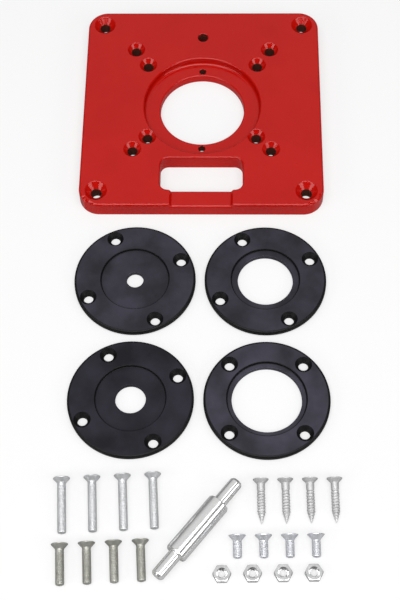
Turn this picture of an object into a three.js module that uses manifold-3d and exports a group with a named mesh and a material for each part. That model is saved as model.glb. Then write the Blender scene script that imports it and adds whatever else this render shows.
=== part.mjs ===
// Insert plate kit for a router table, laid out flat: a square cast plate with a stepped round recess,
// four insert rings that drop into the recess, their screws and nuts, and a starter pin.
// Millimetres, +Z up, the front of the plate towards -Y. Everything lies on the plane z = 0.

import * as THREE from "three";
import { mergeVertices } from "three/addons/utils/BufferGeometryUtils.js";
import Module from "manifold-3d";

const wasm = await Module();
wasm.setup();

// ---------------------------------------------------------------- driving dimensions

const CUT_PAST = 1; // how far a cutter runs past the face that it opens
const QUARTER_TURN = Math.PI / 2;
const FACETS = { recess: 72, ring: 48, countersink: 18, tapped: 14, screw: 16, pin: 24 };

const PLATE = { side: 120, thickness: 9, cornerRadius: 10, edgeRound: 0.9 };
const RECESS = { diameter: 58.8, depth: 4, footFillet: 1.4 };
const OPENING_DIAMETER = 42.4;
const RING_SCREW_CIRCLE = 48;
const SLOT = { width: 40.8, frontY: -50.6, backY: -32.2, cornerRadius: 4 };
const NOTCH = { width: 30, depth: 1.8 };

const CORNER_HOLE = { offset: 51.5, hole: 5.2, head: 10.4, lip: 0.6 };
const MOUNT_HOLE = { hole: 5, head: 9.2, lip: 0.6 };
const MOUNT_HOLES_AT = [
  { x: 34.5, y: 35.3 },
  { x: 28, y: 25.4 },
  { x: 27.2, y: -19.4 },
  { x: 34.5, y: -27 },
];
const PIN_HOLE = { y: 43.2, diameter: 5.2, chamfer: 0.5 };
const LEDGE_HOLE = { diameter: 3.4, chamfer: 0.3 };

const RING = {
  diameter: 57.8,
  thickness: 4,
  topChamfer: 0.5,
  footChamfer: 1.6,
  stepDepth: 1.4,
  hole: 4.5,
  head: 8.2,
};
const RINGS = [
  { name: "insert_ring_8mm", bore: 8, step: 32.4, firstHoleDeg: 25 },
  { name: "insert_ring_26mm", bore: 26.2, step: 32.4, firstHoleDeg: 27 },
  { name: "insert_ring_14mm", bore: 14, step: 32.4, firstHoleDeg: 27 },
  { name: "insert_ring_32mm", bore: 32, step: 36.4, firstHoleDeg: 45 },
];

const MACHINE_SHANK = { radius: 2, tipTaper: 0.5, tipRadius: 1.5 };
const MACHINE_HEAD = { radius: 3.75, rim: 0.35, cone: 1.85 };
const LONG_SCREW = { length: 25, head: MACHINE_HEAD, shank: MACHINE_SHANK };
const MEDIUM_SCREW = { length: 18, head: MACHINE_HEAD, shank: MACHINE_SHANK };
const SHORT_SCREW = { length: 10, head: MACHINE_HEAD, shank: MACHINE_SHANK };
const WOOD_SCREW = {
  length: 20,
  head: { radius: 3.5, rim: 0.35, cone: 1.65 },
  shank: { radius: 1.85, tipTaper: 5, tipRadius: 0.2 },
};
const DRIVE = { span: 3.8, width: 0.9, depth: 1.5 };

const NUT = { acrossFlats: 7, thickness: 3.2, hole: 3.4 };
const PIN = { length: 55, bodyLength: 30, bodyRadius: 5, endRadius: 3, chamfer: 0.8 };

// Where the pieces lie. The plate's centre is at x = 0, y = 0.
const GAP_BELOW_PLATE = 9;
const RING_PITCH = 62;
const GAP_BELOW_RINGS = 6;
const HARDWARE_REACH_BACK = 28.5; // from the hardware's centre line to its furthest head

const MACHINE_GROUP = { x: -38.49, turnDeg: 3.3 };
const SMALL_GROUP = { x: 39.51, turnDeg: 1.2 };
const SCREW_ROWS = [
  { name: "long_screw", kind: LONG_SCREW, group: MACHINE_GROUP, firstX: -20, pitch: 13.4, headY: 25.8 },
  { name: "medium_screw", kind: MEDIUM_SCREW, group: MACHINE_GROUP, firstX: -20.8, pitch: 11.6, headY: -4.2 },
  { name: "wood_screw", kind: WOOD_SCREW, group: SMALL_GROUP, firstX: -11.2, pitch: 10.8, headY: 25 },
  { name: "ring_screw", kind: SHORT_SCREW, group: SMALL_GROUP, firstX: -22.1, pitch: 11.3, headY: -0.5 },
];
const NUT_ROW = { group: SMALL_GROUP, firstX: -29, pitch: 13.1, y: -17 };
const PIN_AT = { x: 0.3, y: 1.5, turnDeg: -38.7 };
const PIECES_IN_A_ROW = 4;

// ---------------------------------------------------------------- finishes

const redEnamel = new THREE.MeshStandardMaterial({ color: 0xb8231c, roughness: 0.3, metalness: 0 });
const blackPlastic = new THREE.MeshStandardMaterial({ color: 0x33313a, roughness: 0.5, metalness: 0 });
const zincPlate = new THREE.MeshStandardMaterial({ color: 0xc4c6c8, roughness: 0.3, metalness: 1 });
const nickelPlate = new THREE.MeshStandardMaterial({ color: 0xb4b2a6, roughness: 0.35, metalness: 1 });
const turnedSteel = new THREE.MeshStandardMaterial({ color: 0xd6d8da, roughness: 0.2, metalness: 1 });

// ---------------------------------------------------------------- solids

/** A closed manifold solid from a three.js geometry. */
function toSolid(geometry) {
  const bare = new THREE.BufferGeometry();
  bare.setAttribute("position", geometry.getAttribute("position"));
  bare.setIndex(geometry.getIndex());
  const merged = mergeVertices(bare);
  const corners = merged.getIndex().array;
  const triangles = [];
  for (let i = 0; i < corners.length; i += 3) {
    const [a, b, c] = corners.slice(i, i + 3);
    const flat = a === b || b === c || c === a;
    if (!flat) triangles.push(a, b, c);
  }
  return new wasm.Manifold(
    new wasm.Mesh({
      numProp: 3,
      vertProperties: new Float32Array(merged.getAttribute("position").array),
      triVerts: new Uint32Array(triangles),
    }),
  );
}

/** A three.js geometry from a manifold solid. */
function toGeometry(solid) {
  const mesh = solid.getMesh();
  const geometry = new THREE.BufferGeometry();
  geometry.setAttribute("position", new THREE.BufferAttribute(mesh.vertProperties, 3));
  geometry.setIndex(new THREE.BufferAttribute(mesh.triVerts, 1));
  geometry.computeVertexNormals();
  return geometry;
}

/** A body turned about +Z from a list of [radius, height] points that starts and ends on the axis. */
function turned(profile, segments) {
  const points = profile.map(([radius, height]) => new THREE.Vector2(radius, height));
  return toSolid(new THREE.LatheGeometry(points, segments).rotateX(QUARTER_TURN));
}

/** A solid moved to x, y, z. */
function moved(solid, x, y, z = 0) {
  return solid.translate([x, y, z]);
}

/** A rectangle with round corners, centred on x, y. */
function roundedRectangle(width, depth, radius, x = 0, y = 0) {
  const shape = new THREE.Shape();
  const right = x + width / 2 - radius;
  const left = x - width / 2 + radius;
  const back = y + depth / 2 - radius;
  const front = y - depth / 2 + radius;
  shape.absarc(right, back, radius, 0, QUARTER_TURN);
  shape.absarc(left, back, radius, QUARTER_TURN, 2 * QUARTER_TURN);
  shape.absarc(left, front, radius, 2 * QUARTER_TURN, 3 * QUARTER_TURN);
  shape.absarc(right, front, radius, 3 * QUARTER_TURN, 4 * QUARTER_TURN);
  return shape;
}

/** Cutter for a hole with a countersunk mouth in a face at height top. */
function countersinkCutter({ hole, head, lip }, top) {
  const coneDepth = (head - hole) / 2;
  return turned(
    [
      [0, -CUT_PAST],
      [hole / 2, -CUT_PAST],
      [hole / 2, top - lip - coneDepth],
      [head / 2, top - lip],
      [head / 2, top + CUT_PAST],
      [0, top + CUT_PAST],
    ],
    FACETS.countersink,
  );
}

/** Cutter for a tapped hole with a chamfered mouth in a face at height top. */
function tappedCutter({ diameter, chamfer }, top) {
  const radius = diameter / 2;
  return turned(
    [
      [0, -CUT_PAST],
      [radius, -CUT_PAST],
      [radius, top - chamfer],
      [radius + chamfer, top],
      [radius + chamfer, top + CUT_PAST],
      [0, top + CUT_PAST],
    ],
    FACETS.tapped,
  );
}

// ---------------------------------------------------------------- the plate

function plateBlank() {
  const { side, thickness, cornerRadius, edgeRound } = PLATE;
  const outline = roundedRectangle(side, side, cornerRadius);
  const blank = new THREE.ExtrudeGeometry(outline, {
    depth: thickness - 2 * edgeRound,
    bevelThickness: edgeRound,
    bevelSize: edgeRound,
    bevelOffset: -edgeRound,
    bevelSegments: 2,
    curveSegments: 8,
  });
  return moved(toSolid(blank), 0, 0, edgeRound);
}

/** The router opening and, above it, the recess with a filleted foot. */
function recessCutter() {
  const ledge = PLATE.thickness - RECESS.depth;
  const wall = RECESS.diameter / 2;
  const fillet = RECESS.footFillet;
  const foot = [];
  for (const angle of [0, Math.PI / 6, Math.PI / 3, Math.PI / 2]) {
    foot.push([wall - fillet + fillet * Math.sin(angle), ledge + fillet - fillet * Math.cos(angle)]);
  }
  return turned(
    [
      [0, -CUT_PAST],
      [OPENING_DIAMETER / 2, -CUT_PAST],
      [OPENING_DIAMETER / 2, ledge],
      ...foot,
      [wall, PLATE.thickness + CUT_PAST],
      [0, PLATE.thickness + CUT_PAST],
    ],
    FACETS.recess,
  );
}

/** The window near the front edge. */
function slotCutter() {
  const length = SLOT.backY - SLOT.frontY;
  const middle = (SLOT.backY + SLOT.frontY) / 2;
  const outline = roundedRectangle(SLOT.width, length, SLOT.cornerRadius, 0, middle);
  const depth = PLATE.thickness + 2 * CUT_PAST;
  const cutter = new THREE.ExtrudeGeometry(outline, { depth, bevelEnabled: false, curveSegments: 6 });
  return moved(toSolid(cutter), 0, 0, -CUT_PAST);
}

/** The shallow finger notch from the window to the front edge. */
function notchCutter() {
  const back = SLOT.frontY + SLOT.cornerRadius;
  const front = -PLATE.side / 2 - CUT_PAST;
  const height = NOTCH.depth + CUT_PAST;
  const cutter = toSolid(new THREE.BoxGeometry(NOTCH.width, back - front, height));
  return moved(cutter, 0, (back + front) / 2, PLATE.thickness - NOTCH.depth + height / 2);
}

function insertPlate() {
  const top = PLATE.thickness;
  const ledge = PLATE.thickness - RECESS.depth;
  let plate = plateBlank().subtract(recessCutter()).subtract(slotCutter()).subtract(notchCutter());
  for (const side of [-1, 1]) {
    for (const end of [-1, 1]) {
      const x = side * CORNER_HOLE.offset;
      const y = end * CORNER_HOLE.offset;
      plate = plate.subtract(moved(countersinkCutter(CORNER_HOLE, top), x, y));
    }
    for (const { x, y } of MOUNT_HOLES_AT) {
      plate = plate.subtract(moved(countersinkCutter(MOUNT_HOLE, top), side * x, y));
    }
    const ledgeY = (side * RING_SCREW_CIRCLE) / 2;
    plate = plate.subtract(moved(tappedCutter(LEDGE_HOLE, ledge), 0, ledgeY));
  }
  return toGeometry(plate.subtract(moved(tappedCutter(PIN_HOLE, top), 0, PIN_HOLE.y)));
}

// ---------------------------------------------------------------- the insert rings

/** A ring with a bore, a shallow step round it and four countersunk screw holes. */
function insertRing({ bore, step, firstHoleDeg }) {
  const { diameter, thickness, topChamfer, footChamfer, stepDepth } = RING;
  const rim = diameter / 2;
  const section = [
    [bore / 2, 0],
    [rim - footChamfer, 0],
    [rim, footChamfer],
    [rim, thickness - topChamfer],
    [rim - topChamfer, thickness],
    [step / 2, thickness],
    [step / 2, thickness - stepDepth],
    [bore / 2, thickness - stepDepth],
    [bore / 2, 0],
  ];
  let ring = turned(section, FACETS.ring);
  for (let quarter = 0; quarter < 4; quarter += 1) {
    const angle = THREE.MathUtils.degToRad(firstHoleDeg) + quarter * QUARTER_TURN;
    const x = (RING_SCREW_CIRCLE / 2) * Math.cos(angle);
    const y = (RING_SCREW_CIRCLE / 2) * Math.sin(angle);
    const cutter = countersinkCutter({ hole: RING.hole, head: RING.head, lip: 0.3 }, thickness);
    ring = ring.subtract(moved(cutter, x, y));
  }
  return toGeometry(ring);
}

// ---------------------------------------------------------------- screws, nuts and pin

/** A countersunk screw about +Z, its head's flat at z = 0 and its tip at z = -length. */
function screwSolid({ length, head, shank }) {
  const blank = turned(
    [
      [0, -length],
      [shank.tipRadius, -length],
      [shank.radius, -length + shank.tipTaper],
      [shank.radius, -head.rim - head.cone],
      [head.radius, -head.rim],
      [head.radius, 0],
      [0, 0],
    ],
    FACETS.screw,
  );
  const height = DRIVE.depth + CUT_PAST;
  const centreZ = CUT_PAST - height / 2;
  const wide = moved(toSolid(new THREE.BoxGeometry(DRIVE.span, DRIVE.width, height)), 0, 0, centreZ);
  const deep = moved(toSolid(new THREE.BoxGeometry(DRIVE.width, DRIVE.span, height)), 0, 0, centreZ);
  return blank.subtract(wide).subtract(deep);
}

/** How a screw rests on its head's rim and its shank: the tilt of its axis and the height of its head. */
function restingOnItsSide({ length, head, shank }) {
  const rimToTip = length - shank.tipTaper - head.rim;
  const tilt = Math.atan((head.radius - shank.radius) / rimToTip);
  const height = head.radius * Math.cos(tilt) + head.rim * Math.sin(tilt);
  return { tilt, height };
}

function hexNut() {
  const corner = NUT.acrossFlats / Math.sqrt(3);
  const outline = new THREE.Shape();
  for (let side = 0; side < 6; side += 1) {
    const angle = (side * Math.PI) / 3;
    const point = [corner * Math.cos(angle), corner * Math.sin(angle)];
    if (side === 0) outline.moveTo(...point);
    else outline.lineTo(...point);
  }
  outline.closePath();
  const hole = new THREE.Path();
  hole.absarc(0, 0, NUT.hole / 2, 0, 2 * Math.PI, true);
  outline.holes.push(hole);
  const blank = { depth: NUT.thickness, bevelEnabled: false, curveSegments: 7 };
  return toGeometry(toSolid(new THREE.ExtrudeGeometry(outline, blank)));
}

/** The starter pin about +Z, centred on its length: a thick body between two thinner ends. */
function starterPin() {
  const { length, bodyLength, bodyRadius, endRadius, chamfer } = PIN;
  const tip = length / 2;
  const shoulder = bodyLength / 2;
  return toGeometry(
    turned(
      [
        [0, -tip],
        [endRadius - chamfer, -tip],
        [endRadius, -tip + chamfer],
        [endRadius, -shoulder],
        [bodyRadius - chamfer, -shoulder],
        [bodyRadius, -shoulder + chamfer],
        [bodyRadius, shoulder - chamfer],
        [bodyRadius - chamfer, shoulder],
        [endRadius, shoulder],
        [endRadius, tip - chamfer],
        [endRadius - chamfer, tip],
        [0, tip],
      ],
      FACETS.pin,
    ),
  );
}

// ---------------------------------------------------------------- the layout

const kit = new THREE.Group();

function addPiece(parent, name, geometry, material) {
  const mesh = new THREE.Mesh(geometry, material);
  mesh.name = name;
  parent.add(mesh);
  return mesh;
}

/** A group turned about the vertical, in which one set of pieces lies. */
function turnedGroup(x, y, turnDeg) {
  const group = new THREE.Group();
  group.position.set(x, y, 0);
  group.rotation.z = THREE.MathUtils.degToRad(turnDeg);
  kit.add(group);
  return group;
}

addPiece(kit, "insert_plate", insertPlate(), redEnamel);

const firstRingY = -PLATE.side / 2 - GAP_BELOW_PLATE - RING.diameter / 2;
RINGS.forEach((ring, place) => {
  const column = place % 2;
  const row = Math.floor(place / 2);
  const mesh = addPiece(kit, ring.name, insertRing(ring), blackPlastic);
  mesh.position.set((column - 0.5) * RING_PITCH, firstRingY - row * RING_PITCH, 0);
});

const ringsEndY = firstRingY - RING_PITCH - RING.diameter / 2;
const hardwareY = ringsEndY - GAP_BELOW_RINGS - HARDWARE_REACH_BACK;
const groups = new Map(
  [MACHINE_GROUP, SMALL_GROUP].map((group) => [group, turnedGroup(group.x, hardwareY, group.turnDeg)]),
);

for (const { name, kind, group, firstX, pitch, headY } of SCREW_ROWS) {
  const { tilt, height } = restingOnItsSide(kind);
  const finish = kind === MEDIUM_SCREW ? nickelPlate : zincPlate;
  for (let place = 0; place < PIECES_IN_A_ROW; place += 1) {
    const screw = addPiece(groups.get(group), `${name}_${place + 1}`, toGeometry(screwSolid(kind)), finish);
    screw.position.set(firstX + place * pitch, headY, height);
    screw.rotation.x = tilt - QUARTER_TURN;
  }
}

for (let place = 0; place < PIECES_IN_A_ROW; place += 1) {
  const nut = addPiece(groups.get(NUT_ROW.group), `hex_nut_${place + 1}`, hexNut(), zincPlate);
  nut.position.set(NUT_ROW.firstX + place * NUT_ROW.pitch, NUT_ROW.y, 0);
}

const pinGroup = turnedGroup(PIN_AT.x, hardwareY + PIN_AT.y, PIN_AT.turnDeg);
const pin = addPiece(pinGroup, "starter_pin", starterPin(), turnedSteel);
pin.position.z = PIN.bodyRadius;
pin.rotation.x = -QUARTER_TURN;

// The origin is the middle of the whole footprint.
const footprint = new THREE.Box3().setFromObject(kit, true);
const middle = footprint.getCenter(new THREE.Vector3());
kit.position.set(-middle.x, -middle.y, 0);

export default kit;
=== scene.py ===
import math

import bpy
from mathutils import Matrix, Vector, noise


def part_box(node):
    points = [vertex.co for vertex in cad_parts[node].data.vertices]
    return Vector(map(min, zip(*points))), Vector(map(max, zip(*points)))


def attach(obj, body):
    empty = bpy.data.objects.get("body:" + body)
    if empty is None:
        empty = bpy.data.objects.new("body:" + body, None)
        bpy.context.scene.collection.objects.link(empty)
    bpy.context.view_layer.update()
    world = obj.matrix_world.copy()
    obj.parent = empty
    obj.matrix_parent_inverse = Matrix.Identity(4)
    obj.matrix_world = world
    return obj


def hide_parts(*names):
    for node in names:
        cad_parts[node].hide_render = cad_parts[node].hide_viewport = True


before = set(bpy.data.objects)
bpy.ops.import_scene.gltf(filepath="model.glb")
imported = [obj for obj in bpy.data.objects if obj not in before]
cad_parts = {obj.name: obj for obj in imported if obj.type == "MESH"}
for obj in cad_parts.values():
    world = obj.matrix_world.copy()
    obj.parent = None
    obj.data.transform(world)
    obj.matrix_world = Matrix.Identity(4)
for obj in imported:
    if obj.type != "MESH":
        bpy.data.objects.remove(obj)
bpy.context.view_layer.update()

# Looks of a router insert plate kit: the enamelled plate, four insert rings, screws, nuts and a pin.
# Pieces are built in millimetres about their own axes, then laid where the frame's nodes lie.

# ---------------------------------------------------------------- sizes, in millimetres

MM = 0.001
PAST = 1.0  # how far a cutter runs past the face that it opens
THINNEST = 0.05  # radius that stands for a point on the axis of a turned piece
THROAT_EDGE = 0.15  # the soft edge where a countersink meets its hole

PLATE_CORNER = 10.0
PLATE_EDGE = 1.3
PLATE_FOOT_EDGE = 0.7
# A dent takes up to the deepest share of the depth, and a higher spread dents more of the edge.
DENTS = {"depth": 1.1, "deepest": 0.6, "spread": 0.1, "size": 2.4, "from_middle": 53.5, "fade": 2.0}
RECESS = {"diameter": 58.8, "depth": 4.0, "foot": 1.4, "rim": 0.9}
OPENING = {"diameter": 42.4, "rim": 0.8}
SLOT = {"width": 40.8, "front": -50.6, "back": -32.2, "corner": 4.0, "rim": 0.9}
NOTCH = {"width": 30.0, "depth": 1.8, "foot": 0.3, "rim": 0.4, "slant": 58.0, "past_window_rim": 0.2}
CORNER_HOLE = {"hole": 5.2, "mouth": 11.0, "sink": 2.95, "rim": 0.8}
CORNER_HOLE_OFFSET = 51.5
MOUNT_HOLE = {"hole": 5.0, "mouth": 9.0, "sink": 2.3, "rim": 0.7}
MOUNT_HOLES_AT = [(34.5, 35.3), (28.0, 25.4), (27.2, -19.4), (34.5, -27.0)]
PIN_HOLE = {"radius": 2.6, "depth": 0.18, "pitch": 1.0, "mouth": 0.1, "foot": 0.3}
PIN_HOLE_Y = 43.2
LEDGE_HOLE = {"radius": 1.7, "depth": 0.1, "pitch": 0.7, "mouth": 0.1, "foot": 0.4}
RING_SCREW_CIRCLE = 48.0

RING = {"diameter": 57.8, "thickness": 4.0, "rim": 1.1, "foot": 1.4, "step": 1.4, "soft": 0.35}
RING_HOLE = {"hole": 4.6, "mouth": 7.8, "sink": 1.8, "rim": 0.2}
RING_SHADES = {  # how light each ring's plastic is, beside the first one
    "insert_ring_8mm": 1.0,
    "insert_ring_26mm": 1.0,
    "insert_ring_14mm": 0.6,
    "insert_ring_32mm": 1.25,
}
RINGS = {
    "insert_ring_8mm": {"bore": 8.0, "step": 32.4, "first_hole": 25.0},
    "insert_ring_26mm": {"bore": 26.2, "step": 32.4, "first_hole": 27.0},
    "insert_ring_14mm": {"bore": 14.0, "step": 32.4, "first_hole": 27.0},
    "insert_ring_32mm": {"bore": 32.0, "step": 36.4, "first_hole": 45.0},
}

THREAD_FORM = {"root": 0.15, "flank": 0.65}  # shares of a half pitch
MACHINE_HEAD = {"radius": 3.75, "rim": 0.35, "cone": 1.85, "crown": 0.0}
WOOD_HEAD = {"radius": 3.5, "rim": 0.35, "cone": 1.65, "crown": 0.55}
MACHINE_THREAD = {"radius": 2.0, "depth": 0.17, "pitch": 0.7, "taper": 0.5, "tip": 1.5}
WOOD_THREAD = {"radius": 1.85, "depth": 0.27, "pitch": 1.3, "taper": 5.0, "tip": 0.2}
SCREWS = {
    "long_screw": {"length": 25.0, "plain": 0.8, "head": MACHINE_HEAD, "thread": MACHINE_THREAD},
    "medium_screw": {"length": 18.0, "plain": 0.8, "head": MACHINE_HEAD, "thread": MACHINE_THREAD},
    "ring_screw": {"length": 10.0, "plain": 0.5, "head": MACHINE_HEAD, "thread": MACHINE_THREAD},
    "wood_screw": {"length": 20.0, "plain": 3.2, "head": WOOD_HEAD, "thread": WOOD_THREAD},
}
SCREW_EDGE = {"tip": 0.35, "shank_inset": 0.04, "run_out": 0.25, "below_head": 0.15, "neck": 0.05}
MACHINE_TURN = 3.3  # turns about the vertical, in degrees
SMALL_TURN = 1.2
PIN_TURN = -38.7
DRIVE = {"span": 3.8, "width": 0.95, "depth": 1.9, "shallow": 0.6}
NUT = {"across": 7.0, "thickness": 3.2, "corner": 0.25, "chamfer": 0.55, "face_inset": 0.1}
NUT_HOLE = {"radius": 1.7, "depth": 0.3, "pitch": 0.7, "mouth": 0.35, "foot": 0.35}
PIN = {"length": 55.0, "body": 30.0, "radius": 5.0, "end_radius": 3.0, "chamfer": 0.8, "fillet": 0.3}
PIN_CENTRE_MARK = 0.5
COPIES = 4

# ---------------------------------------------------------------- outlines


def arc(centre_u, centre_v, radius, start, end, steps):
    """Points of an arc, angles in degrees, both ends included."""
    points = []
    for step in range(steps + 1):
        angle = math.radians(start + (end - start) * step / steps)
        points.append((centre_u + radius * math.cos(angle), centre_v + radius * math.sin(angle)))
    return points


def rounded_rectangle(width, depth, corner, middle_y=0.0, steps=12):
    """Outline of a rectangle with round corners, counterclockwise."""
    x = width / 2 - corner
    y = depth / 2 - corner
    outline = []
    for turn, (u, v) in enumerate([(x, y), (-x, y), (-x, -y), (x, -y)]):
        outline += arc(u, v + middle_y, corner, 90 * turn, 90 * turn + 90, steps)
    return outline


def rim_up(radius, face, soft, steps=5):
    """Profile points that open a hole's wall into a face above it."""
    return arc(radius + soft, face - soft, soft, 180, 90, steps)


def rim_down(radius, face, soft, steps=5):
    """Profile points that close a face below into a hole's wall."""
    return arc(radius + soft, face + soft, soft, 270, 180, steps)


# ---------------------------------------------------------------- solids


def solid(points, faces):
    """A mesh from points in millimetres."""
    mesh = bpy.data.meshes.new("solid")
    mesh.from_pydata(points, [], faces)
    mesh.update()
    return mesh


def skin(rings, loop=False):
    """A closed mesh over rings of equally many points, capped at both ends or joined into a loop."""
    count = len(rings[0])
    points = [point for ring in rings for point in ring]
    faces = []
    for lower in range(len(rings) if loop else len(rings) - 1):
        upper = (lower + 1) % len(rings)
        for k in range(count):
            following = (k + 1) % count
            corners = (lower, k), (lower, following), (upper, following), (upper, k)
            faces.append([ring * count + place for ring, place in corners])
    if not loop:
        faces.append(list(range(count))[::-1])
        faces.append(list(range(len(points) - count, len(points))))
    return solid(points, faces)


def turned(profile, segments, loop=False, swell=None):
    """A body turned about Z from (radius, height) points that run upwards on its outside."""
    rings = []
    for radius, height in profile:
        ring = []
        for segment in range(segments):
            angle = 2 * math.pi * segment / segments
            reach = radius + (swell(angle, height) if swell else 0.0)
            ring.append((reach * math.cos(angle), reach * math.sin(angle), height))
        rings.append(ring)
    return skin(rings, loop)


def combined(body, tools, operation="DIFFERENCE"):
    """The body mesh with each tool mesh cut from it, or kept in common with it."""
    for tool in tools:
        held = bpy.data.objects.new("held", body)
        cutter = bpy.data.objects.new("cutter", tool)
        for piece in (held, cutter):
            bpy.context.scene.collection.objects.link(piece)
        change = held.modifiers.new("change", "BOOLEAN")
        change.operation = operation
        change.solver = "MANIFOLD"
        change.object = cutter
        depsgraph = bpy.context.evaluated_depsgraph_get()
        result = bpy.data.meshes.new_from_object(held.evaluated_get(depsgraph))
        bpy.data.objects.remove(held)
        bpy.data.objects.remove(cutter)
        body = result
    return body


def at(mesh, x, y):
    """The same mesh, moved sideways."""
    mesh.transform(Matrix.Translation((x, y, 0.0)))
    return mesh


def countersink_cutter(size, top, segments=64):
    """Cutter for a through hole with a conical mouth that rounds over into the face."""
    hole = size["hole"] / 2
    mouth = size["mouth"] / 2
    rim = size["rim"]
    throat = top - size["sink"]
    lean = math.atan2(mouth - hole, size["sink"])
    edge = mouth + rim * math.tan(math.pi / 4 - lean / 2)
    above = 0.6 * THROAT_EDGE
    profile = [(hole + THROAT_EDGE, -PAST)]
    profile += rim_down(hole, 0.0, THROAT_EDGE, 3)
    profile += [(hole, throat - THROAT_EDGE), (hole + above * math.tan(lean), throat + above)]
    profile += arc(edge, top - rim, rim, 180 - math.degrees(lean), 90, 6)
    profile += [(edge, top + PAST)]
    return turned(profile, segments)


def thread(size, low, high, fade, steps=8):
    """Heights and a swelling for a ridge that winds round a cylinder and fades in at both ends."""
    rows = round((high - low) / size["pitch"] * steps)
    heights = [low + (high - low) * row / rows for row in range(rows + 1)]

    def swell(angle, height):
        if not low < height < high:
            return 0.0
        phase = (height / size["pitch"] - angle / (2 * math.pi)) % 1
        rise = 1 - abs(2 * phase - 1)
        ridge = min(max((rise - THREAD_FORM["root"]) / THREAD_FORM["flank"], 0.0), 1.0)
        near_end = min(height - low, high - height) / fade
        return size["depth"] * ridge * min(near_end, 1.0)

    return heights, swell


def tapped_cutter(size, top, segments=24):
    """Cutter for a threaded through hole with chamfered mouths."""
    radius = size["radius"]
    mouth = size["mouth"] + size["depth"]
    foot = size["foot"] + size["depth"]
    heights, swell = thread(size, foot, top - mouth, fade=0.4 * size["pitch"])
    profile = [(radius + foot, -PAST), (radius + foot, 0.0)]
    profile += [(radius, height) for height in heights]
    profile += [(radius + mouth, top), (radius + mouth, top + PAST)]
    return turned(profile, segments, swell=swell)


# ---------------------------------------------------------------- the plate


def plate_size():
    low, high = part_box("insert_plate")
    side = (high.x - low.x) / MM
    thickness = (high.z - low.z) / MM
    return side, thickness


def plate_blank(side, thickness):
    """The square plate with round corners and round top and bottom edges."""
    section = arc(PLATE_FOOT_EDGE, PLATE_FOOT_EDGE, PLATE_FOOT_EDGE, 270, 180, 5)
    section += arc(PLATE_EDGE, thickness - PLATE_EDGE, PLATE_EDGE, 180, 90, 8)
    rings = []
    for inset, height in section:
        reach = side - 2 * inset
        outline = rounded_rectangle(reach, reach, PLATE_CORNER - inset, steps=32)
        below = thickness - height
        on_edge = below < PLATE_EDGE
        rings.append([dented(x, y, height, below) if on_edge else (x, y, height) for x, y in outline])
    return skin(rings)


def dented(x, y, height, below):
    """A point of the upper edge, some way below the top, pressed in where a front corner has dents."""
    nearest = min(abs(x), -y)
    share = min(max((nearest - DENTS["from_middle"] + DENTS["fade"]) / DENTS["fade"], 0.0), 1.0)
    lump = noise.fractal(Vector((x, y, height)) / DENTS["size"], 0.7, 2.0, 3)
    press = DENTS["depth"] * share * min(max(lump + DENTS["spread"], 0.0), DENTS["deepest"])
    shrink = 1 - press / math.hypot(x, y)
    return x * shrink, y * shrink, height - press * math.sin(math.pi * below / PLATE_EDGE)


def recess_cutter(thickness):
    """The router opening and, above it, the recess with a filleted foot."""
    ledge = thickness - RECESS["depth"]
    wall = RECESS["diameter"] / 2
    opening = OPENING["diameter"] / 2
    foot = RECESS["foot"]
    soft = OPENING["rim"]
    profile = [(opening + soft, -PAST)]
    profile += rim_down(opening, 0.0, soft)
    profile += rim_up(opening, ledge, soft)
    profile += arc(wall - foot, ledge + foot, foot, 270, 360, 8)
    profile += rim_up(wall, thickness, RECESS["rim"], 6)
    profile += [(wall + RECESS["rim"], thickness + PAST)]
    return turned(profile, 192)


def slot_cutter(thickness):
    """The window near the front edge, its upper and lower edges round."""
    length = SLOT["back"] - SLOT["front"]
    middle = (SLOT["back"] + SLOT["front"]) / 2
    soft = SLOT["rim"]
    profile = [(soft, -PAST)]
    profile += rim_down(0.0, 0.0, 0.5 * soft)
    profile += rim_up(0.0, thickness, soft, 6)
    profile += [(soft, thickness + PAST)]
    rings = []
    for grow, height in profile:
        corner = SLOT["corner"] + grow
        outline = rounded_rectangle(SLOT["width"] + 2 * grow, length + 2 * grow, corner, middle)
        rings.append([(x, y, height) for x, y in outline])
    return skin(rings)


def slanted_wall(middle, floor, top, slant, foot, rim):
    """Profile points up a wall at a slant from the level, round at its foot and its rim."""
    turn = math.radians(slant)
    straight = (top - floor - (foot + rim) * (1 - math.cos(turn))) / math.tan(turn)
    half_span = (straight + (foot + rim) * math.sin(turn)) / 2
    points = arc(middle - half_span, floor + foot, foot, 270, 270 + slant, 4)
    points += arc(middle + half_span, top - rim, rim, 90 + slant, 90, 4)
    return points


def round_off(distance, radius):
    """How far a round edge falls away at a distance inside its tangent line."""
    reach = min(max(distance, 0.0), radius)
    return radius - math.sqrt(radius * radius - reach * reach)


def notch_cutter(side, thickness):
    """The shallow notch from the window to the front edge, its side walls slanted."""
    floor = thickness - NOTCH["depth"]
    front = -side / 2
    back = SLOT["front"]
    wall = NOTCH["width"] / 2
    side_section = slanted_wall(wall, floor, thickness, NOTCH["slant"], NOTCH["foot"], NOTCH["rim"])
    side_section.append((side_section[-1][0], thickness + PAST + PLATE_EDGE))
    stations = [front - PAST, front]
    stations += [front + PLATE_EDGE * step / 8 for step in range(1, 9)]
    stations += [back - SLOT["rim"] * step / 8 for step in range(8, 0, -1)]
    stations += [back, back + SLOT["rim"] + NOTCH["past_window_rim"]]
    rings = []
    for y in stations:
        front_fall = round_off(front + PLATE_EDGE - y, PLATE_EDGE)
        back_fall = round_off(y - back + SLOT["rim"], SLOT["rim"])
        fall = front_fall + back_fall
        right = [(x + fall, y, z - fall) for x, z in side_section]
        left = [(-x, y, z) for x, y, z in reversed(right)]
        rings.append((left + right)[::-1])
    return skin(rings)


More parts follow.
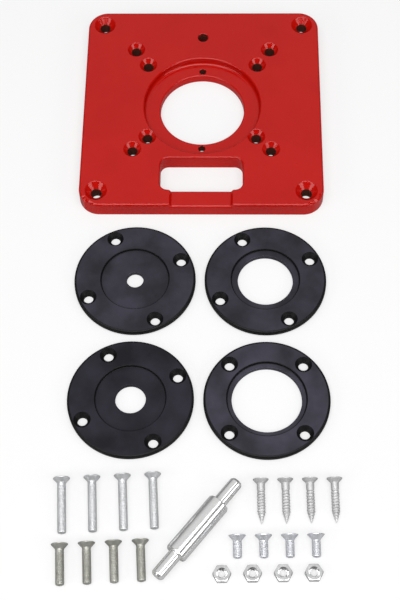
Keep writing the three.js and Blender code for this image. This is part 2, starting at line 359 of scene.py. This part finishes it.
def insert_plate():
    """The plate with its recess, window, notch and holes cut."""
    side, thickness = plate_size()
    ledge = thickness - RECESS["depth"]
    tools = [recess_cutter(thickness), slot_cutter(thickness), notch_cutter(side, thickness)]
    for across in (-1, 1):
        for along in (-1, 1):
            hole = countersink_cutter(CORNER_HOLE, thickness)
            tools.append(at(hole, across * CORNER_HOLE_OFFSET, along * CORNER_HOLE_OFFSET))
        for x, y in MOUNT_HOLES_AT:
            tools.append(at(countersink_cutter(MOUNT_HOLE, thickness), across * x, y))
        tools.append(at(tapped_cutter(LEDGE_HOLE, ledge), 0, across * RING_SCREW_CIRCLE / 2))
    tools.append(at(tapped_cutter(PIN_HOLE, thickness), 0, PIN_HOLE_Y))
    return combined(plate_blank(side, thickness), tools)


# ---------------------------------------------------------------- the insert rings


def ring_hole_places(first_hole):
    places = []
    for quarter in range(4):
        angle = math.radians(first_hole + 90 * quarter)
        places.append((RING_SCREW_CIRCLE / 2 * math.cos(angle), RING_SCREW_CIRCLE / 2 * math.sin(angle)))
    return places


def insert_ring(bore, step, first_hole):
    """A ring with a bore, a shallow step round it and four countersunk screw holes."""
    inner = bore / 2
    outer = RING["diameter"] / 2
    top = RING["thickness"]
    shelf = top - RING["step"]
    soft = RING["soft"]
    section = [(inner + soft, 0.0), (outer - RING["foot"], 0.0)]
    section += [(outer, RING["foot"])]
    section += arc(outer - RING["rim"], top - RING["rim"], RING["rim"], 0, 90, 4)
    section += rim_up(step / 2, top, soft, 4)[::-1]
    section += arc(step / 2 - soft, shelf + soft, soft, 0, -90, 3)
    section += rim_up(inner, shelf, soft, 4)[::-1]
    section += [(inner, soft)]
    ring = turned(section, 160, loop=True)
    tools = [at(countersink_cutter(RING_HOLE, top), x, y) for x, y in ring_hole_places(first_hole)]
    return combined(ring, tools)


# ---------------------------------------------------------------- screws, nuts and pin


def cross(span, width):
    """Outline of the drive's cross with cut inner corners."""
    tip = span / 2
    half = width / 2
    inner = 1.35 * half + 0.3 * half
    outline = []
    for quarter in range(4):
        turn = Matrix.Rotation(math.radians(90 * quarter), 2)
        for x, y in [(tip, -half), (tip, half), (inner, half), (half, inner)]:
            outline.append(tuple(turn @ Vector((x, y))))
    return outline


def drive_cutter(crown):
    """Cutter for a cross recess that narrows towards its bottom."""
    levels = [
        (PAST + crown, DRIVE["span"], DRIVE["width"]),
        (0.0, DRIVE["span"], DRIVE["width"]),
        (-DRIVE["shallow"] * DRIVE["depth"], 0.62 * DRIVE["span"], 0.85 * DRIVE["width"]),
        (-DRIVE["depth"], 0.2 * DRIVE["span"], 0.4 * DRIVE["width"]),
    ]
    rings = []
    for height, span, width in reversed(levels):
        rings.append([(x, y, height) for x, y in cross(span, width)])
    return skin(rings)


def head_profile(head, neck):
    """The cone, rim and top of a countersunk head, upwards."""
    radius = head["radius"]
    edge = 0.12
    profile = [(neck, -head["rim"] - head["cone"])]
    profile += [(radius - edge, -head["rim"] - edge), (radius, -head["rim"])]
    if head["crown"]:
        ball = (radius * radius + head["crown"] ** 2) / (2 * head["crown"])
        steepest = math.degrees(math.asin(radius / ball))
        for step in range(7):
            angle = math.radians(steepest * (1 - step / 7))
            profile.append((ball * math.sin(angle), ball * math.cos(angle) - ball + head["crown"] - edge))
        profile.append((THINNEST, head["crown"] - edge))
    else:
        profile += [(radius, -edge), (radius - edge, 0.0), (THINNEST, 0.0)]
    return profile


def screw(length, plain, head, thread_size, segments=24):
    """A screw about Z: its head's top at z = 0, its tip at z = -length."""
    crest = thread_size["radius"]
    core = crest - thread_size["depth"]
    neck = -head["rim"] - head["cone"]
    start = -length + SCREW_EDGE["tip"]
    shank = crest - SCREW_EDGE["shank_inset"]
    heights, swell = thread(thread_size, start, neck - plain, fade=thread_size["pitch"])
    taper_top = -length + thread_size["taper"]

    def narrowed(radius, height):
        along = min((height + length) / thread_size["taper"], 1.0)
        return thread_size["tip"] + (radius - thread_size["tip"]) * along if height < taper_top else radius

    def shaped(angle, height):
        share = min((height + length) / thread_size["taper"], 1.0)
        return swell(angle, height) * share ** 0.5

    profile = [(0.6 * narrowed(core, -length), -length)]
    profile += [(narrowed(core, height), height) for height in heights]
    profile += [(shank, neck - plain + SCREW_EDGE["run_out"]), (shank, neck - SCREW_EDGE["below_head"])]
    profile += head_profile(head, crest + SCREW_EDGE["neck"])
    body = turned(profile, segments, swell=shaped)
    return combined(body, [drive_cutter(head["crown"])])


def hex_nut():
    """A nut with chamfered corners on both faces and a threaded hole."""
    corner = NUT["corner"]
    reach = (NUT["across"] / 2 - corner) / math.cos(math.radians(30))
    outline = []
    for side in range(6):
        angle = math.radians(60 * side)
        middle_x, middle_y = reach * math.cos(angle), reach * math.sin(angle)
        outline += arc(middle_x, middle_y, corner, 60 * side - 30, 60 * side + 30, 4)
    top = NUT["thickness"]
    prism = skin([[(x, y, z) for x, y in outline] for z in (0.0, top)])
    flat = NUT["across"] / 2 - NUT["face_inset"]
    wide = flat + NUT["chamfer"] / math.tan(math.radians(30))
    profile = [(flat, 0.0), (wide, NUT["chamfer"]), (wide, top - NUT["chamfer"]), (flat, top)]
    barrel = turned(profile, 72)
    blank = combined(prism, [barrel], "INTERSECT")
    return combined(blank, [tapped_cutter(NUT_HOLE, top)])


def starter_pin():
    """The starter pin about Z, centred on its length: a thick body between two thinner ends."""
    tip = PIN["length"] / 2
    shoulder = PIN["body"] / 2
    body = PIN["radius"]
    end = PIN["end_radius"]
    cut = PIN["chamfer"]
    fillet = PIN["fillet"]
    half = [(body, 0.0), (body, shoulder - cut)]
    half += [(body - 0.5 * cut, shoulder - 0.15 * cut), (body - cut, shoulder)]
    half += arc(end + fillet, shoulder + fillet, fillet, 270, 180, 3)
    half += [(end, tip - 1.6 * cut), (end - 0.15 * cut, tip - cut), (end - cut, tip)]
    half += [(PIN_CENTRE_MARK, tip), (THINNEST, tip - PIN_CENTRE_MARK)]
    lower = [(radius, -height) for radius, height in reversed(half[1:])]
    return turned(lower + half, 96)


# ---------------------------------------------------------------- finishing a mesh


def smooth(mesh, sharp_above=38.0):
    """Smooth shading that leaves flat faces flat, with corners sharper than an angle kept."""
    mesh.polygons.foreach_set("use_smooth", [True] * len(mesh.polygons))
    mesh.set_sharp_from_angle(angle=math.radians(sharp_above))
    shown = bpy.data.objects.new("shown", mesh)
    bpy.context.scene.collection.objects.link(shown)
    weighted = shown.modifiers.new("weighted", "WEIGHTED_NORMAL")
    weighted.mode = "FACE_AREA"
    weighted.weight = 100
    weighted.keep_sharp = True
    depsgraph = bpy.context.evaluated_depsgraph_get()
    result = bpy.data.meshes.new_from_object(shown.evaluated_get(depsgraph))
    bpy.data.objects.remove(shown)
    return result


def remember_place(mesh):
    """Keeps each point's place about the piece's own axes, in millimetres, for the materials."""
    own = mesh.attributes.new("own_place", "FLOAT_VECTOR", "POINT")
    own.data.foreach_set("vector", [value for vertex in mesh.vertices for value in vertex.co])


def add_piece(node, mesh, turn, materials):
    """Lays a mesh where the frame's node lies and lets it ride on that node's body."""
    mesh = mesh.copy()
    mesh.transform(turn)
    mesh.transform(Matrix.Scale(MM, 4))
    places = [vertex.co for vertex in mesh.vertices]
    low = Vector([min(place[axis] for place in places) for axis in range(3)])
    high = Vector([max(place[axis] for place in places) for axis in range(3)])
    node_low, node_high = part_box(node)
    shift = (node_low + node_high - low - high) / 2
    shift.z = node_low.z - low.z
    mesh.transform(Matrix.Translation(shift))
    finishes = [face.material_index for face in mesh.polygons]
    mesh.materials.clear()
    for material in materials:
        mesh.materials.append(material)
    mesh.polygons.foreach_set("material_index", finishes)
    piece = bpy.data.objects.new(f"visual_{node}", mesh)
    mesh.name = piece.name
    bpy.context.scene.collection.objects.link(piece)
    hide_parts(node)
    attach(piece, node)
    return piece


# ---------------------------------------------------------------- materials


HAZY_METAL = 0.75  # share of bare metal in a bright finish, the rest being its pale haze
USUAL_NOISE = (0.3, 0.7)  # the range that most of a noise lies in


class Recipe:
    """A node material with short ways to add what the finishes here need."""

    def __init__(self, name):
        self.material = bpy.data.materials.new(name)
        self.material.use_nodes = True
        self.nodes = self.material.node_tree.nodes
        self.links = self.material.node_tree.links
        self.shader = self.nodes["Principled BSDF"]
        self.place = self.nodes.new("ShaderNodeAttribute")
        self.place.attribute_name = "own_place"
        chance = self.nodes.new("ShaderNodeObjectInfo")
        self.chance = self.number("MULTIPLY", chance.outputs["Random"], 40.0)

    def set(self, **values):
        for name, value in values.items():
            self.shader.inputs[name.replace("_", " ")].default_value = value

    def feed(self, socket, value):
        if isinstance(value, bpy.types.NodeSocket):
            self.links.new(value, socket)
        else:
            socket.default_value = value

    def number(self, operation, first, second):
        node = self.nodes.new("ShaderNodeMath")
        node.operation = operation
        self.feed(node.inputs[0], first)
        self.feed(node.inputs[1], second)
        return node.outputs[0]

    def stretched(self, x, y, z):
        node = self.nodes.new("ShaderNodeVectorMath")
        node.operation = "MULTIPLY"
        self.links.new(self.place.outputs["Vector"], node.inputs[0])
        node.inputs[1].default_value = (x, y, z)
        return node.outputs[0]

    def noise(self, size, detail=3.0, rough=0.5, stretch=None):
        """Noise whose blobs are about size millimetres across, different on each piece."""
        node = self.nodes.new("ShaderNodeTexNoise")
        node.noise_dimensions = "4D"
        node.inputs["Scale"].default_value = 1 / size
        node.inputs["Detail"].default_value = detail
        node.inputs["Roughness"].default_value = rough
        place = self.stretched(*stretch) if stretch else self.place.outputs["Vector"]
        self.links.new(place, node.inputs["Vector"])
        self.links.new(self.chance, node.inputs["W"])
        return node.outputs[0]

    def spread(self, value, low, high, to_low, to_high):
        """A value's range low to high laid over another range, clamped."""
        node = self.nodes.new("ShaderNodeMapRange")
        self.feed(node.inputs["Value"], value)
        for name, number in zip(("From Min", "From Max", "To Min", "To Max"), (low, high, to_low, to_high)):
            node.inputs[name].default_value = number
        return node.outputs[0]

    def varied(self, value, low, high):
        """A noise's usual range laid over another range."""
        return self.spread(value, *USUAL_NOISE, low, high)

    def blend(self, share, first, second):
        node = self.nodes.new("ShaderNodeMix")
        node.data_type = "RGBA"
        self.feed(node.inputs[0], share)
        self.feed(node.inputs[6], first)
        self.feed(node.inputs[7], second)
        return node.outputs[2]

    def bump(self, height, depth, under=None):
        """Relief of a depth in millimetres."""
        node = self.nodes.new("ShaderNodeBump")
        node.inputs["Distance"].default_value = depth * MM
        self.links.new(height, node.inputs["Height"])
        if under:
            self.links.new(under, node.inputs["Normal"])
        return node.outputs[0]

    def colour(self, value):
        self.feed(self.shader.inputs["Base Color"], value)

    def roughness(self, value):
        self.feed(self.shader.inputs["Roughness"], value)

    def normal(self, value):
        self.feed(self.shader.inputs["Normal"], value)


def red_enamel():
    """Glossy enamel over a casting, slightly uneven, with a few specks."""
    recipe = Recipe("red_enamel")
    pooled = recipe.spread(recipe.noise(16.0, 2.0), 0.35, 0.65, 0.0, 1.0)
    recipe.colour(recipe.blend(pooled, (0.47, 0.0035, 0.0010, 1), (0.50, 0.0050, 0.0018, 1)))
    haze = recipe.noise(7.0, 4.0, 0.6)
    recipe.roughness(recipe.varied(haze, 0.10, 0.16))
    orange_peel = recipe.bump(recipe.noise(1.3, 2.0), 0.008)
    sag = recipe.bump(recipe.noise(9.0, 1.0), 0.05, under=orange_peel)
    specks = recipe.spread(recipe.noise(2.6, 1.0), 0.70, 0.78, 0.0, 1.0)
    recipe.normal(recipe.bump(specks, 0.08, under=sag))
    recipe.set(Specular_IOR_Level=0.38)
    return recipe.material


def bore_shade():
    """The drilled walls, thinly enamelled, coloured dark red-brown as painted shade for the inside of the
    holes.
    """
    recipe = Recipe("bore_shade")
    streaks = recipe.noise(0.5, 4.0, 0.6, stretch=(1, 1, 0.3))
    recipe.colour(recipe.blend(streaks, (0.06, 0.015, 0.009, 1), (0.12, 0.032, 0.020, 1)))
    recipe.roughness(recipe.varied(streaks, 0.5, 0.7))
    recipe.set(Specular_IOR_Level=0.15)
    return recipe.material


def tapped_wall():
    """The threaded walls, metal under a thin smear of enamel, their colours darkened as painted shade for
    the inside of the holes.
    """
    recipe = Recipe("tapped_wall")
    smear = recipe.noise(0.6, 4.0)
    recipe.colour(recipe.blend(smear, (0.08, 0.008, 0.004, 1), (0.20, 0.05, 0.034, 1)))
    recipe.roughness(recipe.varied(smear, 0.2, 0.35))
    recipe.set(Metallic=0.4, Specular_IOR_Level=0.4)
    return recipe.material


def black_plastic(name, shade):
    """Moulded plastic with a bluish bloom in soft clouds that also paint in a bluish sheen, its colours
    times a shade.
    """
    recipe = Recipe(name)
    cloud = recipe.spread(recipe.noise(14.0, 3.0), 0.35, 0.65, 0.0, 1.0)
    dark = [shade * value for value in (0.013, 0.012, 0.018)]
    # The lighter bluish clouds are partly bloom and partly a painted sheen.
    bloom_and_sheen = [shade * value for value in (0.036, 0.034, 0.051)]
    recipe.colour(recipe.blend(cloud, (*dark, 1), (*bloom_and_sheen, 1)))
    recipe.roughness(recipe.varied(recipe.noise(5.0, 4.0, 0.65), 0.38, 0.54))
    grain = recipe.bump(recipe.noise(0.35, 3.0, 0.6), 0.02)
    recipe.normal(recipe.bump(recipe.noise(8.0, 1.0), 0.05, under=grain))
    recipe.set(Specular_IOR_Level=0.32 * min(shade, 1.0))
    return recipe.material


def cut_plastic():
    """Plain dark plastic without the bloom and sheen, near black as painted shade on the rings'
    countersinks, outer rims and steps.
    """
    recipe = Recipe("cut_plastic")
    marks = recipe.noise(0.4, 3.0, stretch=(0.3, 0.3, 1))
    recipe.colour(recipe.blend(marks, (0.003, 0.003, 0.0035, 1), (0.008, 0.008, 0.009, 1)))
    recipe.roughness(recipe.varied(marks, 0.4, 0.55))
    recipe.set(Specular_IOR_Level=0.2)
    return recipe.material


def plated(name, dull, bright, rough_low, rough_high, metal=HAZY_METAL):
    """Plated steel, mottled, with fine scratches and a film of haze."""
    recipe = Recipe(name)
    mottle = recipe.noise(3.0, 3.0, 0.5, stretch=(1, 1, 0.4))
    recipe.colour(recipe.blend(recipe.varied(mottle, 0.0, 1.0), dull, bright))
    recipe.roughness(recipe.varied(recipe.noise(2.0, 3.0), rough_low, rough_high))
    recipe.normal(recipe.bump(recipe.noise(0.5, 3.0, stretch=(1, 1, 0.3)), 0.004))
    recipe.set(Metallic=metal)
    return recipe.material


def turned_steel():
    """Polished steel with fine lathe marks round its axis."""
    recipe = Recipe("turned_steel")
    cloud = recipe.noise(5.0, 3.0)
    recipe.colour(recipe.blend(cloud, (0.88, 0.88, 0.88, 1), (0.96, 0.96, 0.95, 1)))
    marks = recipe.noise(0.25, 3.0, 0.7, stretch=(0.02, 0.02, 1))
    recipe.roughness(recipe.varied(marks, 0.09, 0.2))
    recipe.normal(recipe.bump(marks, 0.003))
    recipe.set(Metallic=HAZY_METAL)
    return recipe.material


# ---------------------------------------------------------------- the pieces


NEAR = 0.1  # how far past a hole's wall the middle of one of its faces may lie


def upright(turn_deg):
    return Matrix.Rotation(math.radians(turn_deg), 4, "Z")


def screw_lean(kind):
    """The tilt, in degrees, of a screw that rests on its head's rim and its thread."""
    head = kind["head"]
    size = kind["thread"]
    along = kind["length"] - size["taper"] - head["rim"]
    return math.degrees(math.atan((head["radius"] - size["radius"]) / along))


def lying(lean_deg, turn_deg):
    """An axis laid down to point along +Y, leaning, then turned about the vertical."""
    return upright(turn_deg) @ Matrix.Rotation(math.radians(lean_deg - 90), 4, "X")


def mark_bores(mesh):
    """Gives the plate's drilled walls the second material and its tapped walls the third, both painted dark
    as shade inside the holes.
    """
    side, thickness = plate_size()
    ledge = thickness - RECESS["depth"]
    drilled = []
    for across in (-1, 1):
        for along in (-1, 1):
            drilled.append((across * CORNER_HOLE_OFFSET, along * CORNER_HOLE_OFFSET, CORNER_HOLE))
        drilled += [(across * x, y, MOUNT_HOLE) for x, y in MOUNT_HOLES_AT]
    tapped = [(0.0, PIN_HOLE_Y, PIN_HOLE, thickness)]
    tapped += [(0.0, end * RING_SCREW_CIRCLE / 2, LEDGE_HOLE, ledge) for end in (-1, 1)]
    for face in mesh.polygons:
        centre = face.center
        for x, y, size in drilled:
            throat = thickness - size["sink"]
            near = math.hypot(centre.x - x, centre.y - y) < size["hole"] / 2 + THROAT_EDGE
            if near and THROAT_EDGE < centre.z < throat:
                face.material_index = 1
        for x, y, size, top in tapped:
            near = math.hypot(centre.x - x, centre.y - y) < size["radius"] + size["depth"] + NEAR
            if near and THROAT_EDGE < centre.z < top - 0.6 * (size["mouth"] + size["depth"]):
                face.material_index = 2


def build_plate():
    mesh = smooth(insert_plate())
    mark_bores(mesh)
    remember_place(mesh)
    finishes = [red_enamel(), bore_shade(), tapped_wall()]
    add_piece("insert_plate", mesh, upright(0), finishes)


def mark_shaded_faces(mesh, first_hole, step):
    """Gives the second material, near black as painted shade, to a ring's screw holes, outer rim and the
    wall of its step.
    """
    centres = [Vector(centre) for centre in ring_hole_places(first_hole)]
    below_top = RING["thickness"] - 0.1 * NEAR
    for face in mesh.polygons:
        from_axis = face.center.xy.length
        from_hole = min((face.center.xy - centre).length for centre in centres)
        in_hole = from_hole < RING_HOLE["mouth"] / 2 + NEAR
        on_rim = from_axis > RING["diameter"] / 2 - RING["rim"]
        on_step = abs(from_axis - step / 2) < 1.5 * RING["soft"]
        if 0.0 < face.center.z < below_top and (in_hole or on_rim or on_step):
            face.material_index = 1


def build_rings():
    # Near-black plastic as painted shade on the rings' countersinks, outer rims and step walls.
    cut = cut_plastic()
    for node, size in RINGS.items():
        mesh = smooth(insert_ring(**size))
        mark_shaded_faces(mesh, size["first_hole"], size["step"])
        remember_place(mesh)
        plastic = black_plastic(f"plastic_of_{node}", RING_SHADES[node])
        add_piece(node, mesh, upright(0), [plastic, cut])


def build_screws():
    zinc = plated("zinc_plate", (0.70, 0.71, 0.72, 1), (0.84, 0.85, 0.86, 1), 0.34, 0.46)
    nickel = plated("nickel_plate", (0.40, 0.40, 0.36, 1), (0.58, 0.58, 0.53, 1), 0.34, 0.46)
    matt = plated("matt_zinc", (0.61, 0.61, 0.61, 1), (0.74, 0.74, 0.74, 1), 0.5, 0.62)
    bright = plated("bright_zinc", (0.82, 0.83, 0.87, 1), (0.93, 0.94, 0.98, 1), 0.26, 0.38)
    polished = plated("polished_zinc", (0.80, 0.80, 0.81, 1), (0.95, 0.95, 0.95, 1), 0.14, 0.24, metal=0.9)
    finishes = {"long_screw": zinc, "medium_screw": nickel, "wood_screw": matt, "ring_screw": bright}
    for name, kind in SCREWS.items():
        shape = screw(kind["length"], kind["plain"], kind["head"], kind["thread"])
        mesh = smooth(shape, sharp_above=50.0)
        remember_place(mesh)
        turn = SMALL_TURN if name in ("wood_screw", "ring_screw") else MACHINE_TURN
        for copy in range(1, COPIES + 1):
            add_piece(f"{name}_{copy}", mesh, lying(screw_lean(kind), turn), [finishes[name]])
    nut = smooth(hex_nut())
    remember_place(nut)
    for copy in range(1, COPIES + 1):
        add_piece(f"hex_nut_{copy}", nut, upright(SMALL_TURN), [polished])


def build_pin():
    mesh = smooth(starter_pin())
    remember_place(mesh)
    add_piece("starter_pin", mesh, lying(0, PIN_TURN), [turned_steel()])


# ---------------------------------------------------------------- floor, light and camera


FLOOR_COLOUR = (0.87, 0.87, 0.87, 1)
FLOOR_IN_REFLECTIONS = (0.31, 0.31, 0.31, 1)
FLOOR_HALF = 4.0
BACKDROP = 1.0
# Distances from the frame's origin are in metres.
FADE = {"near": 0.6, "from": 0.2, "to": 0.8}
SKY = {"brightest": (0.0, 0.57, 0.82), "from": 0.5, "to": 1.0, "dim": 0.04, "bright": 0.56}
ABOVE = {"place": (0, -0.488, 1.218), "target": (0, 0.093, 0), "size": (1.4, 1.1), "power": 16.5}
SIDES = {"across": 0.80, "y": -0.52, "z": 0.50, "target": (0, 0.09, 0), "size": (0.6, 0.36), "power": 2.2}


def fade_into_backdrop(recipe, path):
    position = recipe.nodes.new("ShaderNodeNewGeometry")
    distance = recipe.nodes.new("ShaderNodeVectorMath")
    distance.operation = "LENGTH"
    recipe.links.new(position.outputs["Position"], distance.inputs[0])
    share = recipe.spread(distance.outputs["Value"], FADE["from"], FADE["to"], FADE["near"], 1.0)
    seen_share = recipe.number("MULTIPLY", share, path.outputs["Is Camera Ray"])
    even = recipe.nodes.new("ShaderNodeEmission")
    even.inputs["Strength"].default_value = BACKDROP
    both = recipe.nodes.new("ShaderNodeMixShader")
    recipe.links.new(seen_share, both.inputs["Fac"])
    recipe.links.new(recipe.shader.outputs["BSDF"], both.inputs[1])
    recipe.links.new(even.outputs["Emission"], both.inputs[2])
    recipe.links.new(both.outputs["Shader"], recipe.nodes["Material Output"].inputs["Surface"])


def build_floor():
    """A plain white floor that looks greyer where the pieces mirror it."""
    half = FLOOR_HALF
    corners = [(-half, -half, 0), (half, -half, 0), (half, half, 0), (-half, half, 0)]
    mesh = solid(corners, [(0, 1, 2, 3)])
    recipe = Recipe("studio_floor")
    path = recipe.nodes.new("ShaderNodeLightPath")
    recipe.colour(recipe.blend(path.outputs["Is Glossy Ray"], FLOOR_COLOUR, FLOOR_IN_REFLECTIONS))
    recipe.set(Roughness=0.9, Specular_IOR_Level=0.1)
    fade_into_backdrop(recipe, path)
    mesh.materials.append(recipe.material)
    floor = bpy.data.objects.new("studio_floor", mesh)
    bpy.context.scene.collection.objects.link(floor)


def add_softbox(name, place, target, size, power):
    """A rectangular area light that the camera doesn't see, places and sizes in metres."""
    light = bpy.data.lights.new(name, "AREA")
    light.shape = "RECTANGLE"
    light.size, light.size_y = size
    light.energy = power
    lamp = bpy.data.objects.new(name, light)
    lamp.location = place
    aim = Vector(target) - Vector(place)
    lamp.rotation_euler = aim.to_track_quat("-Z", "Y").to_euler()
    lamp.visible_camera = False
    bpy.context.scene.collection.objects.link(lamp)


def build_world():
    """Soft light that comes mostly from above and behind, and an even pale backdrop."""
    world = bpy.data.worlds.new("studio")
    bpy.context.scene.world = world
    world.use_nodes = True
    nodes = world.node_tree.nodes
    links = world.node_tree.links
    place = nodes.new("ShaderNodeTexCoord")
    toward = nodes.new("ShaderNodeVectorMath")
    toward.operation = "DOT_PRODUCT"
    toward.inputs[1].default_value = SKY["brightest"]
    links.new(place.outputs["Generated"], toward.inputs[0])
    glow = nodes.new("ShaderNodeMapRange")
    glow.interpolation_type = "SMOOTHSTEP"
    for name, key in (("From Min", "from"), ("From Max", "to"), ("To Min", "dim"), ("To Max", "bright")):
        glow.inputs[name].default_value = SKY[key]
    links.new(toward.outputs["Value"], glow.inputs["Value"])
    path = nodes.new("ShaderNodeLightPath")
    seen = nodes.new("ShaderNodeMix")
    seen.inputs["B"].default_value = BACKDROP
    links.new(path.outputs["Is Camera Ray"], seen.inputs["Factor"])
    links.new(glow.outputs["Result"], seen.inputs["A"])
    links.new(seen.outputs["Result"], nodes["Background"].inputs["Strength"])
    nodes["Background"].inputs["Color"].default_value = (1, 1, 1, 1)


def build_light():
    build_world()
    add_softbox("above", ABOVE["place"], ABOVE["target"], ABOVE["size"], ABOVE["power"])
    for name, side in (("left", -1), ("right", 1)):
        place = (SIDES["across"] * side, SIDES["y"], SIDES["z"])
        add_softbox(name, place, SIDES["target"], SIDES["size"], SIDES["power"])


# The camera sees the plate from the photograph's direction and is turned down to take in the whole kit.
# Angles are in degrees, places and lengths in millimetres.
CAMERA = {"elevation": 54.92, "azimuth": -2.09, "roll": -1.89, "distance": 678.7, "lens": 81.1}
PHOTO_MIDDLE = (-1.86, -21.51)  # where the photograph's middle falls on the plate's top, from its centre
AIM = (0.0, -14.0)  # the point of the floor that the camera is turned to
SENSOR = 36.0


def heading(elevation, azimuth):
    """The direction of a view that looks down by an elevation, in radians, and along +Y at azimuth 0."""
    level = Vector((math.sin(azimuth), math.cos(azimuth), 0))
    return level * math.cos(elevation) - Vector((0, 0, math.sin(elevation)))


def build_camera():
    low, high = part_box("insert_plate")
    plate_top = Vector(((low.x + high.x) / 2, (low.y + high.y) / 2, high.z))
    seen = plate_top + Vector((*PHOTO_MIDDLE, 0)) * MM
    photo_view = heading(math.radians(CAMERA["elevation"]), math.radians(CAMERA["azimuth"]))
    place = seen - photo_view * CAMERA["distance"] * MM
    ahead = (Vector((*AIM, 0)) * MM - place).normalized()
    right = ahead.cross(Vector((0, 0, 1))).normalized()
    level = Matrix((right, right.cross(ahead), -ahead)).transposed()
    roll = Matrix.Rotation(math.radians(CAMERA["roll"]), 3, "Z")
    data = bpy.data.cameras.new("camera")
    data.lens = CAMERA["lens"]
    data.sensor_width = SENSOR
    camera = bpy.data.objects.new("camera", data)
    camera.matrix_world = Matrix.Translation(place) @ (level @ roll).to_4x4()
    bpy.context.scene.collection.objects.link(camera)
    bpy.context.scene.camera = camera


build_plate()
build_rings()
build_screws()
build_pin()
build_floor()
build_light()
build_camera()

bpy.context.scene.view_settings.view_transform = "Standard"
